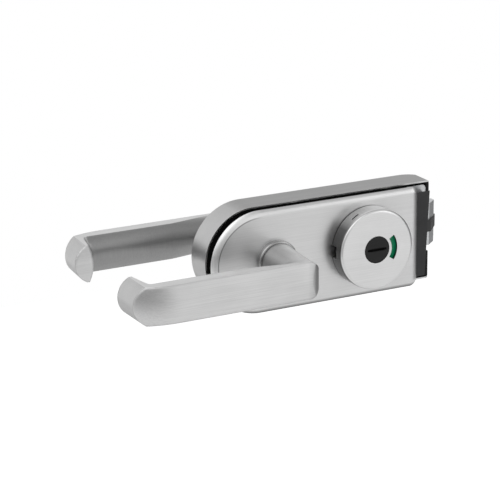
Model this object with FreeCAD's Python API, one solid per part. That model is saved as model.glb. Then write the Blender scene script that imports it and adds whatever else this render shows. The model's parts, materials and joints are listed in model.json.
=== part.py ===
import FreeCAD, Part
import math
import os
from FreeCAD import Vector

# Glass door lever lock with a privacy turn, in millimetres
# +X runs along the case towards the latch, +Y from the outer side through the glass, +Z up
# The origin lies on the lever spindle's axis, in the middle of the glass

# The pane that the lock is clamped on
glass_thickness = 8.0
glass_edge_x = 100.0

# Outer sizes of the two covers
case_height = 66.0
round_end_x = -10.5
front_overhang = 1.6
front_depth = 2.5
front_corner = 5.0
front_face_thickness = 0.9
front_wall = 1.9
front_edge_width = 4.2
front_edge_drop = 1.8
rear_overhang = 15.5
rear_depth = 20.0
rear_corner = 1.0
rear_face_thickness = 2.0
rear_wall = 1.0
rear_end_sweep = 11.0
rear_end_drop = 5.6
rear_end_lip = 0.4
rear_end_solid = 7.0

# Clamping plates and rubber pads
pad_thickness = 0.6
front_plate_thickness = 1.0
rear_plate_thickness = 1.5
rear_plate_margin = 2.4
rear_plate_end_margin = 1.8
rear_plate_corner = 3.0
pad_window_margin = 1.0
fit_gap = 0.05
free_gap = 0.3
overrun = 1.0

# Sheet steel lock case inside the rear cover
sheet = 1.2
case_margin = 10.5
case_deep_margin = 6.5
case_left_x = -27.0
case_right_margin = 12.5
case_step_margin = 54.0
case_step_slope = 4.0
case_corner = 2.0

# Dark block that fills the glass thickness beyond the pane
block_top_margin = 4.3
block_bottom_margin = 5.2
block_top_drop = 3.3
block_top_width = 11.6
block_bottom_width = 8.6
block_edge_round = 0.4
block_peg_radius = 2.0
block_peg_inset = 2.3
block_peg_margin = 10.0

# Black end frame with the bolt openings
frame_thickness = 1.8
frame_corner = 1.0
bolt_clearance = 0.4
opening_web = 1.0
latch_clearance = 2.8
frame_screw_radius = 1.25
frame_head_radius = 2.2
frame_head_height = 1.2
frame_screw_length = 8.0
frame_post_length = 9.0
frame_post_height = 5.4
frame_post_depth = 8.0
frame_slot = 0.8
latch_notch_length = 31.5

# Headless screws that hold the rear cover
cover_lug_places = (-2.0, 36.0)
cover_lug_width = 8.0
cover_lug_depth = 8.0
cover_lug_height = 6.2
cover_screw_radius = 2.0

# Clamping screws and their sleeves
left_screw_margin = 9.5
middle_screw_x = 22.0
right_screw_margin = 12.0
sleeve_radius = 4.0
sleeve_flange_radius = 4.7
screw_radius = 2.0
screw_head_radius = 3.1
screw_head_height = 2.6
screw_socket = 2.5
screw_socket_depth = 1.6
sleeve_floor = 1.5

# Lever: a flat grip with a return at its end and a round neck
lever_offset = 41.0
grip_half_height = 11.8
grip_flat = 8.4
grip_front_crown = 1.0
grip_back_crown = 4.5
grip_tip_x = -105.6
grip_outer_bow = 7.8
grip_tip_lean = 0.8
grip_bow_lean = 1.0
grip_roll_start_x = -86.0
grip_roll_radius = 53.0
return_reach = 26.5
return_tip_band = 1.5
return_slope = 0.178
return_inner_bow = 2.9
return_inner_round = 4.0
elbow_start_x = -40.4
elbow_end_x = 1.1
elbow_flat = 1.0
elbow_bow = 7.0
elbow_round = 8.0
neck_radius = 11.7
neck_blend = 8.0

# Collars, journals and the square spindle
collar_radius = 13.2
collar_height = 3.5
collar_edge = 0.9
collar_spigot_radius = 9.5
journal_radius = 8.0
running_gap = 0.05
circlip_thickness = 1.0
circlip_radius = 9.6
circlip_groove_radius = 7.1
circlip_opening = 5.0
spindle_width = 8.0
spindle_socket_depth = 22.0
grub_radius = 2.5
grub_hex = 2.5
grub_hex_depth = 2.0
grub_place = 9.0

# Follower that the spindle turns, and its return spring
follower_radius = 9.4
follower_journal_radius = 8.0
follower_pin_margin = 5.5
follower_pin_radius = 2.2
follower_arm_width = 8.0
lever_travel_deg = 40.0
arm_thickness = 3.0
spring_arm_reach = 17.0
spring_arm_thickness = 5.0
spring_radius = 3.6
spring_wire_radius = 0.7
spring_half_turns = 8

# Latch
latch_front_gap = 2.0
latch_thickness = 10.0
latch_root_reach = 2.3
latch_reach = 9.5
latch_bevel_depth = 6.1
latch_top_margin = 6.1
latch_back_length = 17.5
latch_edge = 0.6
insert_height = 7.8
insert_drop = 0.5
insert_proud = 1.7
insert_root_reach = 2.6
insert_reach = 11.9
insert_back_length = 9.5
insert_depth = 5.0
insert_tip_width = 1.0
tail_play = 0.5
tail_thickness = 3.5
tail_margin = 2.5
tail_height = 9.0
tail_start_x = -3.0
tail_grip = 8.0
roll_pin_radius = 1.5

# Dead bolt
bolt_height = 9.0
bolt_play = 0.9
bolt_thickness = 8.0
bolt_head_length = 20.0
bolt_edge = 0.5

# Privacy turn: spindle, cam, coin disc, dial and thumb turn
turn_margin = 35.1
turn_spindle_width = 6.0
turn_travel_deg = 90.0
cam_radius = 6.4
cam_journal_radius = 5.2
cam_pin_reach = 9.0
cam_pin_radius = 2.0
cam_arm_width = 6.0
slot_play = 0.35
rose_radius = 26.0
rose_height = 11.5
rose_wall = 1.7
rose_face = 1.8
rose_edge_round = 2.0
rose_hole_radius = 8.8
rose_base_thickness = 3.0
rose_hub_radius = 11.0
window_inner_radius = 10.6
window_outer_radius = 14.5
window_half_deg = 34.0
dial_radius = 16.0
dial_thickness = 1.2
coin_radius = 8.48
coin_stem_radius = 6.5
coin_slot_length = 13.5
coin_slot_width = 1.4
coin_slot_depth = 1.6
coin_slot_floor = 2.0
notch_height = 8.0
notch_depth = 5.5
notch_pocket = 5.5
prise_slot_deg = 121.0
prise_slot_length = 5.0
prise_slot_width = 1.5
prise_slot_place = 4.6
rose_screw_reach = 17.5
rose_screw_radius = 1.6
rose_screw_head_radius = 2.9
rose_screw_length = 4.7
knob_length = 36.0
knob_thickness = 9.0
knob_reach = 17.0
knob_edge = 2.0
turn_ring_thickness = 1.6

# Places along X that follow from the glass edge
front_end_x = glass_edge_x + front_overhang
rear_end_x = glass_edge_x + rear_overhang
rear_plate_end_x = rear_end_x - rear_plate_end_margin
pad_window_x = glass_edge_x - pad_window_margin
turn_x = glass_edge_x - turn_margin
case_right_x = rear_end_x - case_right_margin
case_step_x = glass_edge_x - case_step_margin
block_top_x = glass_edge_x + block_top_width
block_bottom_x = glass_edge_x + block_bottom_width
block_peg_x = glass_edge_x + block_peg_inset
frame_start_x = rear_end_x - frame_thickness
latch_notch_x = rear_end_x - latch_notch_length
latch_root_x = rear_end_x + latch_root_reach
latch_tip_x = rear_end_x + latch_reach
latch_back_x = rear_end_x - latch_back_length
insert_root_x = rear_end_x + insert_root_reach
insert_tip_x = rear_end_x + insert_reach
insert_back_x = rear_end_x - insert_back_length
right_screw_x = glass_edge_x - right_screw_margin

# Levels along Y that follow from the sizes above
glass_front_y = -glass_thickness / 2
glass_rear_y = glass_thickness / 2
front_face_y = glass_front_y - front_depth
rear_face_y = glass_rear_y + rear_depth
mirror_y = (front_face_y + rear_face_y) / 2
rear_plate_front_y = glass_rear_y + pad_thickness
rear_plate_back_y = rear_plate_front_y + rear_plate_thickness
lid_back_y = rear_plate_back_y + sheet
case_back_y = rear_face_y - rear_face_thickness - free_gap
case_floor_y = case_back_y - sheet
front_plate_front_y = glass_front_y - pad_thickness - front_plate_thickness
latch_front_y = rear_plate_front_y + latch_front_gap
latch_back_y = latch_front_y + latch_thickness
tail_front_y = lid_back_y + 2 * free_gap + tail_play
tail_back_y = tail_front_y + tail_thickness
arm_front_y = tail_back_y + free_gap
arm_back_y = arm_front_y + arm_thickness
bolt_front_y = tail_front_y - free_gap
bolt_back_y = bolt_front_y + bolt_thickness
rose_front_y = front_face_y - rose_height
collar_front_y = front_face_y - collar_height
grip_middle_y = front_face_y - lever_offset
grip_front_y = grip_middle_y - grip_flat / 2
grip_back_y = grip_middle_y + grip_flat / 2
return_end_y = grip_front_y + return_reach
frame_back_y = rear_face_y - rear_end_drop - rear_end_lip
circlip_y = glass_front_y + free_gap
journal_end_y = front_face_y + rear_face_thickness
spindle_front_y = journal_end_y - spindle_socket_depth
grub_y = collar_front_y - grub_place
turn_spindle_front_y = rose_front_y + coin_slot_depth + coin_slot_floor
frame_screw_y = rear_plate_back_y + frame_post_depth / 2
cover_screw_y = rear_plate_back_y + cover_lug_depth / 2

# Heights that follow from the case's height
half_height = case_height / 2
plate_half_height = half_height - rear_plate_margin
case_top_z = half_height - case_margin
case_shallow_z = -case_top_z
case_deep_z = case_deep_margin - half_height
bolt_bottom_z = case_deep_z + sheet + bolt_play
bolt_top_z = bolt_bottom_z + bolt_height
bolt_tail_top_z = -cam_journal_radius - free_gap
latch_opening_low_z = bolt_top_z + opening_web
latch_bottom_z = latch_opening_low_z + latch_clearance
latch_top_z = case_top_z - latch_top_margin
latch_opening_top_z = latch_top_z + latch_clearance
insert_middle_z = (latch_bottom_z + latch_top_z) / 2 - insert_drop
insert_bottom_z = insert_middle_z - insert_height / 2
insert_top_z = insert_middle_z + insert_height / 2
follower_pin_reach = case_top_z - follower_pin_margin
tail_top_z = case_top_z - tail_margin
tail_bottom_z = tail_top_z - tail_height
cover_lug_top_z = cover_lug_height - plate_half_height
frame_post_low_z = plate_half_height - frame_post_height
frame_screw_z = plate_half_height - frame_post_height / 2
block_top_z = half_height - block_top_margin
block_bottom_z = block_bottom_margin - half_height
block_peg_z = half_height - block_peg_margin
screw_z = case_top_z + free_gap + screw_head_radius
left_screw_x = round_end_x - half_height + left_screw_margin
screw_places = [(left_screw_x, 0.0), (middle_screw_x, screw_z), (middle_screw_x, -screw_z),
                (right_screw_x, screw_z)]
far = 200.0

os.makedirs("parts", exist_ok=True)


def save(name, shape):
    """Write one piece as its own file and print what it is."""
    shape = shape.removeSplitter()
    shape.exportStep("parts/" + name + ".step")
    print(name, "solids", len(shape.Solids), "valid", shape.isValid(), "volume", round(shape.Volume, 2))


def block(x0, x1, y0, y1, z0, z1):
    """A box between two corners."""
    return Part.makeBox(x1 - x0, y1 - y0, z1 - z0, Vector(x0, y0, z0))


def rod_y(x, z, radius, y0, y1):
    """A round bar along Y."""
    return Part.makeCylinder(radius, y1 - y0, Vector(x, y0, z), Vector(0, 1, 0))


def rod_z(x, y, radius, z0, z1):
    """A round bar along Z."""
    return Part.makeCylinder(radius, z1 - z0, Vector(x, y, z0), Vector(0, 0, 1))


def rod_x(y, z, radius, x0, x1):
    """A round bar along X."""
    return Part.makeCylinder(radius, x1 - x0, Vector(x0, y, z), Vector(1, 0, 0))


def square_y(x, z, width, y0, y1):
    """A square bar along Y."""
    return block(x - width / 2, x + width / 2, y0, y1, z - width / 2, z + width / 2)


def turned(x, z, profile):
    """A piece turned about the Y axis through x, z from (radius, y) corners."""
    corners = [Vector(x + radius, y, z) for radius, y in profile]
    face = Part.Face(Part.makePolygon(corners + [corners[0]]))
    return face.revolve(Vector(x, 0, z), Vector(0, 1, 0), 360)


def plate_y(corners, y0, y1):
    """A flat plate with straight edges between (x, z) corners."""
    points = [Vector(x, y0, z) for x, z in corners]
    face = Part.Face(Part.makePolygon(points + [points[0]]))
    return face.extrude(Vector(0, y1 - y0, 0))


def hex_y(x, z, across, y0, y1):
    """A hexagonal bar along Y, measured across its flats."""
    reach = across / math.sqrt(3)
    corners = []
    for step in range(6):
        angle = math.radians(60 * step)
        corners.append((x + reach * math.cos(angle), z + reach * math.sin(angle)))
    return plate_y(corners, y0, y1)


def mirrored(shape):
    """The same piece on the other side of the case."""
    return shape.mirror(Vector(0, mirror_y, 0), Vector(0, 1, 0))


def swung(shape, x, degrees):
    """A piece turned about the Y axis through x, with its upper side going towards -X."""
    copy = shape.copy()
    copy.rotate(Vector(x, 0, 0), Vector(0, -1, 0), degrees)
    return copy


def edges_along(shape, direction, at=None, tolerance=0.01):
    """The straight edges along one axis, at the given places on the other axes."""
    found = []
    for edge in shape.Edges:
        if edge.Curve.TypeId != "Part::GeomLine":
            continue
        first = edge.Vertexes[0].Point
        last = edge.Vertexes[-1].Point
        run = last - first
        if abs(abs(run.dot(direction)) - run.Length) > tolerance:
            continue
        spots = at if at else [(None, None, None)]
        for spot in spots:
            pairs = zip((first.x, first.y, first.z), spot)
            if all(want is None or abs(have - want) < tolerance for have, want in pairs):
                found.append(edge)
                break
    return found


def edges_at_y(shape, y, tolerance=0.01):
    """The edges that lie wholly at one level along Y."""
    found = []
    for edge in shape.Edges:
        box = edge.BoundBox
        if abs(box.YMin - y) < tolerance and abs(box.YMax - y) < tolerance:
            found.append(edge)
    return found


def round_edges(shape, y, radius, tolerance=0.01):
    """The circular edges of one radius at one level along Y."""
    found = []
    for edge in edges_at_y(shape, y):
        if edge.Curve.TypeId == "Part::GeomCircle" and abs(edge.Curve.Radius - radius) < tolerance:
            found.append(edge)
    return found


def sweep_radius(width, drop):
    """The radius of an arc that leaves a flat face and has fallen by the drop after the width."""
    return (width * width + drop * drop) / (2 * drop)


def case_slab(inset, end_x, corner, y0, y1):
    """A slab in the case's outline: a full round at the left and two corners at the right."""
    half = half_height - inset
    skew = corner * (1 - math.sqrt(0.5))
    top_left = Vector(round_end_x, y0, half)
    top_right = Vector(end_x - corner, y0, half)
    top_turn = Vector(end_x - skew, y0, half - skew)
    right_top = Vector(end_x, y0, half - corner)
    right_bottom = Vector(end_x, y0, corner - half)
    bottom_turn = Vector(end_x - skew, y0, skew - half)
    bottom_right = Vector(end_x - corner, y0, -half)
    bottom_left = Vector(round_end_x, y0, -half)
    edges = [
        Part.LineSegment(top_left, top_right).toShape(),
        Part.Arc(top_right, top_turn, right_top).toShape(),
        Part.LineSegment(right_top, right_bottom).toShape(),
        Part.Arc(right_bottom, bottom_turn, bottom_right).toShape(),
        Part.LineSegment(bottom_right, bottom_left).toShape(),
        Part.Arc(bottom_left, Vector(round_end_x - half, y0, 0), top_left).toShape(),
    ]
    return Part.Face(Part.Wire(edges)).extrude(Vector(0, y1 - y0, 0))


def screw_holes(radius, y0, y1):
    """One hole for each clamping screw."""
    return Part.makeCompound([rod_y(x, z, radius, y0, y1) for x, z in screw_places])


def make_front_cover():
    """Shallow pressed cover whose face falls away softly towards its rim, with its holes."""
    outer = case_slab(0, front_end_x, front_corner, front_face_y, glass_front_y)
    radius = sweep_radius(front_edge_width, front_edge_drop)
    spread = radius - front_edge_width
    pillow = case_slab(-spread, front_end_x + spread, front_corner + spread, front_face_y,
                       front_face_y + radius + overrun)
    outer = outer.common(pillow.makeFillet(radius, edges_at_y(pillow, front_face_y)))
    inside_y = front_face_y + front_face_thickness
    inner_corner = front_corner - front_wall
    inner = case_slab(front_wall, front_end_x - front_wall, inner_corner, inside_y, glass_front_y)
    cover = outer.cut(inner)
    cover = cover.cut(rod_y(0, 0, collar_spigot_radius + fit_gap, front_face_y, inside_y))
    cover = cover.cut(rod_y(turn_x, 0, rose_hub_radius, front_face_y, inside_y))
    for side in (-1, 1):
        z = side * rose_screw_reach
        cover = cover.cut(rod_y(turn_x, z, rose_screw_radius + fit_gap, front_face_y, inside_y))
    save("front_cover", cover)


def make_front_plate():
    """Steel clamping plate behind the front cover."""
    inset = front_wall + fit_gap
    inner_corner = front_corner - inset
    back_y = front_plate_front_y + front_plate_thickness
    plate = case_slab(inset, front_end_x - inset, inner_corner, front_plate_front_y, back_y)
    plate = plate.cut(rod_y(0, 0, collar_spigot_radius + fit_gap, front_plate_front_y, back_y))
    plate = plate.cut(rod_y(turn_x, 0, rose_hub_radius, front_plate_front_y, back_y))
    plate = plate.cut(screw_holes(sleeve_radius + fit_gap, front_plate_front_y, back_y))
    for side in (-1, 1):
        z = side * rose_screw_reach
        plate = plate.cut(rod_y(turn_x, z, rose_screw_radius, front_plate_front_y, back_y))
    save("front_clamp_plate", plate)


def make_front_pad():
    """Black rubber pad between the front plate and the glass."""
    inset = front_wall + fit_gap
    front_y = glass_front_y - pad_thickness
    pad = case_slab(inset, front_end_x - inset, front_corner - inset, front_y, glass_front_y)
    pad = pad.cut(rod_y(0, 0, circlip_radius + 2 * free_gap, front_y, glass_front_y))
    pad = pad.cut(rod_y(turn_x, 0, rose_hub_radius, front_y, glass_front_y))
    pad = pad.cut(screw_holes(sleeve_flange_radius + fit_gap, front_y, glass_front_y))
    for side in (-1, 1):
        z = side * rose_screw_reach
        pad = pad.cut(rod_y(turn_x, z, rose_screw_radius + free_gap, front_y, glass_front_y))
    save("front_rubber_pad", pad)


def make_rear_cover():
    """Deep rear cover, open towards the glass and at its latch end."""
    outer = case_slab(0, rear_end_x, rear_corner, glass_rear_y, rear_face_y)
    radius = sweep_radius(rear_end_sweep, rear_end_drop)
    sweep_x = rear_end_x + radius - rear_end_sweep
    sweep = block(-far, sweep_x, glass_rear_y, rear_face_y, -half_height - overrun, half_height + overrun)
    end_back = [edge for edge in edges_at_y(sweep, rear_face_y) if edge.BoundBox.XMin > rear_end_x]
    outer = outer.common(sweep.makeFillet(radius, end_back))
    inside_y = rear_face_y - rear_face_thickness
    inner = case_slab(rear_wall, far, rear_corner, glass_rear_y, inside_y)
    inner = inner.cut(block(rear_end_x - rear_end_solid, far, frame_back_y, rear_face_y,
                            -half_height, half_height))
    cover = outer.cut(inner)
    cover = cover.cut(rod_y(0, 0, collar_spigot_radius + fit_gap, inside_y, rear_face_y))
    cover = cover.cut(rod_y(turn_x, 0, rose_hub_radius, inside_y, rear_face_y))
    for side in (-1, 1):
        z = side * rose_screw_reach
        cover = cover.cut(rod_y(turn_x, z, rose_screw_radius + fit_gap, inside_y, rear_face_y))
    for x in cover_lug_places:
        cover = cover.cut(rod_z(x, cover_screw_y, cover_screw_radius + fit_gap, -far, 0))
    save("rear_cover", cover)


def make_rear_plate():
    """Light plate that carries the lock case, with its end notched for the latch."""
    plate = case_slab(rear_plate_margin, rear_plate_end_x, rear_plate_corner, rear_plate_front_y,
                      rear_plate_back_y)
    plate = plate.cut(rod_y(0, 0, follower_journal_radius + free_gap, rear_plate_front_y, rear_plate_back_y))
    plate = plate.cut(rod_y(turn_x, 0, cam_journal_radius + free_gap, rear_plate_front_y, rear_plate_back_y))
    plate = plate.cut(screw_holes(screw_radius + fit_gap, rear_plate_front_y, rear_plate_back_y))
    plate = plate.cut(block(latch_notch_x, rear_end_x, rear_plate_front_y, rear_plate_back_y,
                            latch_opening_low_z, latch_opening_top_z))
    for z in (-block_peg_z, block_peg_z):
        plate = plate.cut(rod_y(block_peg_x, z, block_peg_radius + fit_gap, rear_plate_front_y,
                                rear_plate_back_y))
    post_x = frame_start_x - fit_gap - frame_post_length
    post_back_y = rear_plate_back_y + frame_post_depth
    for side in (-1, 1):
        low_z = min(side * frame_post_low_z, side * plate_half_height)
        high_z = max(side * frame_post_low_z, side * plate_half_height)
        post = block(post_x, rear_plate_end_x - rear_plate_corner, rear_plate_front_y, post_back_y,
                     low_z, high_z)
        post = post.fuse(block(post_x, frame_start_x - fit_gap, rear_plate_back_y, post_back_y,
                               low_z, high_z))
        plate = plate.fuse(post)
        plate = plate.cut(rod_x(frame_screw_y, side * frame_screw_z, frame_screw_radius, post_x, rear_end_x))
    for x in cover_lug_places:
        lug = block(x - cover_lug_width / 2, x + cover_lug_width / 2, rear_plate_back_y,
                    rear_plate_back_y + cover_lug_depth, -plate_half_height, cover_lug_top_z)
        plate = plate.fuse(lug)
        plate = plate.cut(rod_z(x, cover_screw_y, cover_screw_radius, -half_height, cover_lug_top_z))
    save("rear_base_plate", plate)


def make_rear_pad():
    """Black rubber pad on the rear plate, with a window where the plate shows past the glass."""
    inset = rear_wall + fit_gap
    pad = case_slab(inset, frame_start_x - fit_gap, rear_corner, glass_rear_y, rear_plate_front_y)
    window = case_slab(rear_plate_margin, rear_plate_end_x, rear_plate_corner, glass_rear_y,
                       rear_plate_front_y)
    pad = pad.cut(window.common(block(pad_window_x, far, glass_rear_y, rear_plate_front_y, -far, far)))
    pad = pad.cut(rod_y(0, 0, follower_journal_radius + 2 * free_gap, glass_rear_y, rear_plate_front_y))
    pad = pad.cut(rod_y(turn_x, 0, cam_journal_radius + 2 * free_gap, glass_rear_y, rear_plate_front_y))
    pad = pad.cut(screw_holes(sleeve_radius + free_gap, glass_rear_y, rear_plate_front_y))
    save("rear_rubber_pad", pad)


def make_clamp_hardware():
    """Threaded sleeves in the glass holes, and the screws that pull the two plates together."""
    sleeves = []
    screws = []
    sleeve_end_y = glass_rear_y - free_gap
    head_y = rear_plate_back_y
    for x, z in screw_places:
        sleeve = turned(x, z, [(0, front_plate_front_y), (sleeve_radius, front_plate_front_y),
                               (sleeve_radius, front_plate_front_y + front_plate_thickness),
                               (sleeve_flange_radius, front_plate_front_y + front_plate_thickness),
                               (sleeve_flange_radius, glass_front_y),
                               (sleeve_radius, glass_front_y), (sleeve_radius, sleeve_end_y),
                               (0, sleeve_end_y)])
        sleeve = sleeve.cut(rod_y(x, z, screw_radius + fit_gap, front_plate_front_y + sleeve_floor,
                                  sleeve_end_y))
        sleeves.append(sleeve)
        screw = turned(x, z, [(0, front_plate_front_y + sleeve_floor + free_gap),
                              (screw_radius, front_plate_front_y + sleeve_floor + free_gap),
                              (screw_radius, head_y), (screw_head_radius, head_y),
                              (screw_head_radius, head_y + screw_head_height),
                              (0, head_y + screw_head_height)])
        socket_y = head_y + screw_head_height - screw_socket_depth
        screws.append(screw.cut(hex_y(x, z, screw_socket, socket_y, head_y + screw_head_height)))
    save("clamp_sleeves", Part.makeCompound(sleeves))
    save("clamp_screws", Part.makeCompound(screws))


def case_corners(inset):
    """The lock case's outline, shallow under the follower and deep at the dead bolt."""
    return [
        (case_left_x + inset, case_top_z - inset),
        (case_right_x, case_top_z - inset),
        (case_right_x, case_deep_z + inset),
        (case_step_x + inset, case_deep_z + inset),
        (case_step_x - case_step_slope + inset, case_shallow_z + inset),
        (case_left_x + inset, case_shallow_z + inset),
    ]


def case_holes(shape, y0, y1):
    """The two journal bores of the case and its lid."""
    shape = shape.cut(rod_y(0, 0, follower_journal_radius + running_gap, y0, y1))
    return shape.cut(rod_y(turn_x, 0, cam_journal_radius + running_gap, y0, y1))


def make_lock_case():
    """Pressed steel tray that holds the mechanism, open towards the latch end."""
    tray = plate_y(case_corners(0), lid_back_y, case_back_y)
    left = edges_along(tray, Vector(0, 1, 0), [(case_left_x, None, None)])
    tray = tray.makeFillet(case_corner, left)
    hollow = plate_y(case_corners(sheet), lid_back_y, case_floor_y)
    hollow = hollow.fuse(block(case_right_x - sheet, case_right_x, lid_back_y, case_floor_y,
                               case_deep_z + sheet, case_top_z - sheet))
    save("lock_case", case_holes(tray.cut(hollow), case_floor_y, case_back_y))


def make_case_lid():
    """Flat steel lid of the case, notched for the latch."""
    lid = plate_y(case_corners(0), rear_plate_back_y, lid_back_y)
    left = edges_along(lid, Vector(0, 1, 0), [(case_left_x, None, None)])
    lid = lid.makeFillet(case_corner, left)
    lid = lid.cut(block(latch_notch_x, far, rear_plate_back_y, lid_back_y,
                        latch_opening_low_z, latch_opening_top_z))
    save("lock_case_lid", case_holes(lid, rear_plate_back_y, lid_back_y))


def make_edge_block():
    """Dark block beyond the glass edge, leaning inwards towards its foot, its top falling backwards."""
    left_x = glass_edge_x + 3 * fit_gap
    corners = [(left_x, block_top_z), (block_top_x, block_top_z), (block_bottom_x, block_bottom_z),
               (left_x, block_bottom_z)]
    body = plate_y(corners, glass_front_y, rear_plate_front_y)
    above = Part.makePolygon([
        Vector(left_x, glass_front_y, block_top_z),
        Vector(left_x, rear_plate_front_y, block_top_z - block_top_drop),
        Vector(left_x, rear_plate_front_y, half_height),
        Vector(left_x, glass_front_y, half_height),
        Vector(left_x, glass_front_y, block_top_z),
    ])
    body = body.cut(Part.Face(above).extrude(Vector(far, 0, 0)))
    rim = [edge for edge in edges_at_y(body, glass_front_y) if edge.BoundBox.XMax > left_x + fit_gap]
    body = body.makeFillet(block_edge_round, rim)
    for z in (-block_peg_z, block_peg_z):
        body = body.fuse(rod_y(block_peg_x, z, block_peg_radius, rear_plate_front_y, rear_plate_back_y))
    save("glass_edge_block", body)


def make_end_frame():
    """Black plate across the latch end, with an open notch for the latch and a slot for the bolt."""
    half = half_height - rear_wall - fit_gap
    frame = block(frame_start_x, rear_end_x, glass_rear_y, frame_back_y, -half, half)
    frame = frame.makeFillet(frame_corner, edges_along(frame, Vector(1, 0, 0)))
    frame = frame.cut(block(frame_start_x, rear_end_x, glass_rear_y, latch_back_y + bolt_clearance,
                            latch_opening_low_z, latch_opening_top_z))
    frame = frame.cut(block(frame_start_x, rear_end_x, bolt_front_y - bolt_clearance,
                            bolt_back_y + bolt_clearance, bolt_bottom_z - bolt_clearance,
                            bolt_top_z + bolt_clearance))
    screws = []
    for side in (-1, 1):
        z = side * frame_screw_z
        head_x = rear_end_x - frame_head_height
        frame = frame.cut(rod_x(frame_screw_y, z, frame_screw_radius + fit_gap, frame_start_x, rear_end_x))
        frame = frame.cut(rod_x(frame_screw_y, z, frame_head_radius + fit_gap, head_x, rear_end_x))
        screw = rod_x(frame_screw_y, z, frame_screw_radius, rear_end_x - frame_screw_length, head_x)
        head = rod_x(frame_screw_y, z, frame_head_radius, head_x, rear_end_x)
        cross = block(head_x + frame_head_height / 3, rear_end_x, frame_screw_y - frame_slot / 2,
                      frame_screw_y + frame_slot / 2, z - far, z + far)
        screws.append(screw.fuse(head).cut(cross))
    save("end_frame", frame)
    save("end_frame_screws", Part.makeCompound(screws))


def make_cover_screws():
    """Two headless screws in the rear cover's underside that hold it on the plate's lugs."""
    screws = []
    for x in cover_lug_places:
        screw = rod_z(x, cover_screw_y, cover_screw_radius, -half_height + fit_gap, cover_lug_top_z)
        slot = block(x - cover_screw_radius, x + cover_screw_radius, cover_screw_y - frame_slot / 2,
                     cover_screw_y + frame_slot / 2, -half_height, frame_slot - half_height)
        screws.append(screw.cut(slot))
    save("cover_screws", Part.makeCompound(screws))


def grip_section(x, front_y, back_y, crown_y):
    """A cross-section of the grip at one X with a plain front, two flats and a bowed back."""
    half = grip_half_height
    front = Part.makePolygon([Vector(x, back_y, -half), Vector(x, front_y, -half), Vector(x, front_y, half),
                              Vector(x, back_y, half)])
    back = Part.Arc(Vector(x, back_y, half), Vector(x, crown_y, 0), Vector(x, back_y, -half)).toShape()
    return Part.Wire(front.Edges + [back])


def return_section(y, band):
    """A cross-section of the return at one Y: plain outside, bowed inwards, with flat edges."""
    half = grip_half_height
    outer_x = grip_tip_x - 2 * grip_outer_bow
    inner_x = grip_tip_x + band
    inner = Part.Arc(Vector(inner_x, y, half), Vector(inner_x + return_inner_bow, y, 0),
                     Vector(inner_x, y, -half)).toShape()
    outer = Part.makePolygon([Vector(inner_x, y, -half), Vector(outer_x, y, -half), Vector(outer_x, y, half),
                              Vector(inner_x, y, half)])
    return Part.Wire(outer.Edges + [inner])


def plan_outline(y, tip_x, bow):
    """The lever's outline seen from the front at one Y, with a bowed left end."""
    half = grip_half_height
    left = Part.Arc(Vector(tip_x, y, -half), Vector(tip_x - bow, y, 0), Vector(tip_x, y, half)).toShape()
    rest = Part.makePolygon([Vector(tip_x, y, half), Vector(far, y, half), Vector(far, y, -half),
                             Vector(tip_x, y, -half)])
    return Part.Wire(rest.Edges + [left])


def front_envelope():
    """Everything behind the grip's crowned front, which rolls off backwards at its left end."""
    half = grip_half_height
    x = grip_roll_start_x
    crown_y = grip_front_y - grip_front_crown
    axis = Vector(x, crown_y + grip_roll_radius, 0)
    back_y = grip_front_y + return_reach + overrun
    front = Part.Arc(Vector(x, grip_front_y, -half), Vector(x, crown_y, 0), Vector(x, grip_front_y, half))
    rest = Part.makePolygon([Vector(x, grip_front_y, half), Vector(x, back_y, half), Vector(x, back_y, -half),
                             Vector(x, grip_front_y, -half)])
    face = Part.Face(Part.Wire(rest.Edges + [front.toShape()]))
    return face.extrude(Vector(far, 0, 0)).fuse(face.revolve(axis, Vector(0, 0, -1), 90))


def two_arcs(y, half, middle_x, right_x, left_x):
    """A closed outline of two arcs that meet at the top and bottom points."""
    top = Vector(middle_x, y, half)
    bottom = Vector(middle_x, y, -half)
    right = Part.Arc(top, Vector(right_x, y, 0), bottom).toShape()
    left = Part.Arc(bottom, Vector(left_x, y, 0), top).toShape()
    return Part.Wire([right, left])


def make_neck(root_y, neck_front_y, left_x):
    """The round neck, crowned like the grip in front and rounded over at the elbow."""
    half = grip_half_height
    side = half + overrun
    neck = Part.makeLoft([
        two_arcs(collar_front_y - free_gap, neck_radius, 0, neck_radius, -neck_radius),
        two_arcs(neck_front_y, neck_radius, elbow_end_x, elbow_end_x + elbow_bow, -neck_radius),
    ], True, True)
    start_x = left_x - overrun
    crown = Part.Arc(Vector(start_x, root_y, -half), Vector(start_x, neck_front_y, 0),
                     Vector(start_x, root_y, half)).toShape()
    wrap = Part.makePolygon([
        Vector(start_x, root_y, half), Vector(start_x, root_y, side), Vector(start_x, 0, side),
        Vector(start_x, 0, -side), Vector(start_x, root_y, -side), Vector(start_x, root_y, -half),
    ])
    neck = neck.common(Part.Face(Part.Wire([crown] + wrap.Edges)).extrude(Vector(far, 0, 0)))
    side_x = elbow_end_x + elbow_bow
    turn_start_x = side_x - elbow_round
    skew = elbow_round * (1 - math.sqrt(0.5))
    turn = Part.Arc(Vector(turn_start_x, neck_front_y, -far),
                    Vector(side_x - skew, neck_front_y + skew, -far),
                    Vector(side_x, neck_front_y + elbow_round, -far)).toShape()
    around = Part.makePolygon([
        Vector(side_x, neck_front_y + elbow_round, -far),
        Vector(neck_radius + overrun, neck_front_y + elbow_round, -far),
        Vector(neck_radius + overrun, neck_front_y - overrun, -far),
        Vector(turn_start_x, neck_front_y - overrun, -far),
        Vector(turn_start_x, neck_front_y, -far),
    ])
    return neck.cut(Part.Face(Part.Wire([turn] + around.Edges)).extrude(Vector(0, 0, 2 * far)))


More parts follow.
